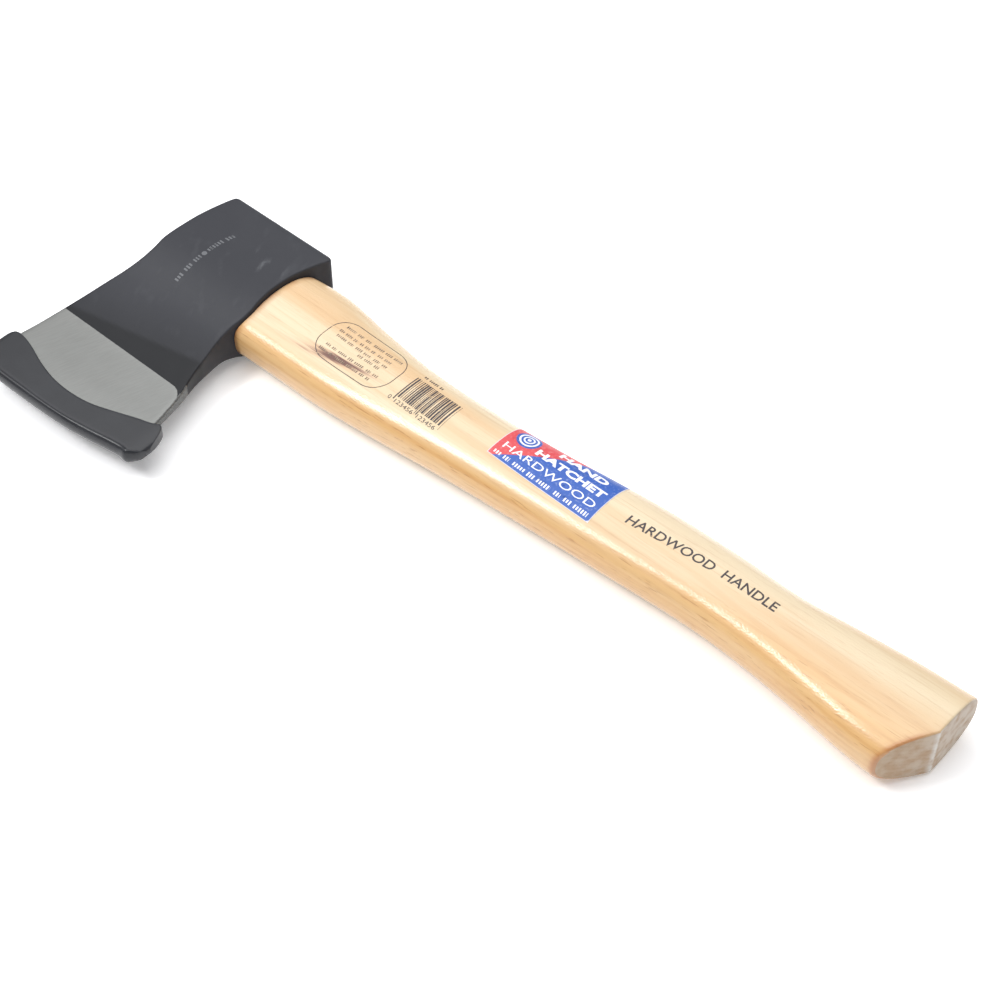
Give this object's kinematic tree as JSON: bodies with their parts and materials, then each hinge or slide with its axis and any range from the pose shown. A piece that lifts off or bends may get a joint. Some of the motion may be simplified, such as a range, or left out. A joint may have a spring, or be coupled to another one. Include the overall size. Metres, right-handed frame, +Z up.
{
  "type": "hatchet",
  "caption": "Hand hatchet: black steel head with a bare ground bit, wedged on a curved, bevel-ended hardwood haft, with a rubber bit guard that slides off.",
  "frame": {"origin": "bottom centre of the whole hatchet's box as it lies on its cheek", "axes": "+X from the head along the haft to the butt, +Y from the bit to the poll, +Z up out of the upper cheek"},
  "size_m": [0.3904, 0.1278, 0.0276],
  "materials": {
    "head_lacquer": "satin black lacquer, ground bare near the bit",
    "hardwood": "clear gloss lacquer on pale hickory",
    "wedge_wood": "bare",
    "wedge_steel": "rolled",
    "label_paper": "printed adhesive label, semi-gloss",
    "guard_rubber": "moulded, satin"
  },
  "bodies": {
    "hatchet": {"axe_head": "head_lacquer", "haft": "hardwood", "wood_wedge": "wedge_wood", "steel_wedge": "wedge_steel", "paper_label": "label_paper"},
    "guard": {"bit_guard": "guard_rubber"}
  },
  "joints": [
    {"name": "guard_pull", "type": "slide", "parent": "hatchet", "child": "guard", "axis": [0, -1, 0], "range_m": [0, 0.05]}
  ]
}
